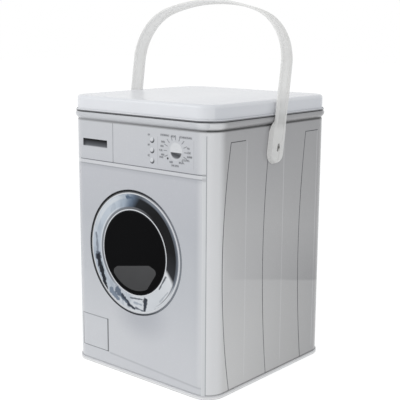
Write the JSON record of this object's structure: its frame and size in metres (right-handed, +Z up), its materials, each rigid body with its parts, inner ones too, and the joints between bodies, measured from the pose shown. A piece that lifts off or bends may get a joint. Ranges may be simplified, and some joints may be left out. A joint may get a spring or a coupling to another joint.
{
  "type": "laundry powder box",
  "caption": "Square printed tin for laundry powder with rounded corners, seamed base, rolled bead, slip-on lid and a swinging plastic strap handle.",
  "frame": {"origin": "middle of the base, on the surface the tin stands on", "axes": "+Z up, -Y towards the printed front, +X to the right of someone who faces the front"},
  "size_m": [0.1852, 0.181, 0.3486],
  "materials": {
    "wall_lacquer": "gloss",
    "lid_lacquer": "gloss",
    "plain_tin": "satin",
    "strap_plastic": "milky",
    "dark_ink": "gloss",
    "white_ink": "gloss",
    "chrome_ink": "gloss",
    "black_ink": "gloss",
    "water_ink": "gloss",
    "button_ink": "gloss"
  },
  "bodies": {
    "tin": {"body_wall": "wall_lacquer", "bottom_end": "plain_tin", "door_edge_print": "dark_ink", "door_chrome_print": "chrome_ink", "door_glass_print": "black_ink", "door_water_print": "water_ink", "drawer_print": "dark_ink", "panel_line_print": "dark_ink", "button_print": "button_ink", "dial_print": "button_ink", "dial_shadow_print": "dark_ink", "dial_mark_print": "dark_ink", "flap_line_print": "dark_ink", "stripe_print": "white_ink", "stripe_line_print": "dark_ink", "side_line_print": "dark_ink"},
    "lid": {"lid": "lid_lacquer"},
    "handle": {"handle": "strap_plastic"}
  },
  "joints": [
    {"name": "lid_lift", "type": "slide", "parent": "tin", "child": "lid", "axis": [0, 0, 1], "range_m": [0, 0.03]},
    {"name": "handle_swing", "type": "hinge", "parent": "tin", "child": "handle", "pos_m": [0, -0.001, 0.217], "axis": [1, 0, 0], "range_deg": [-101, 118]}
  ]
}
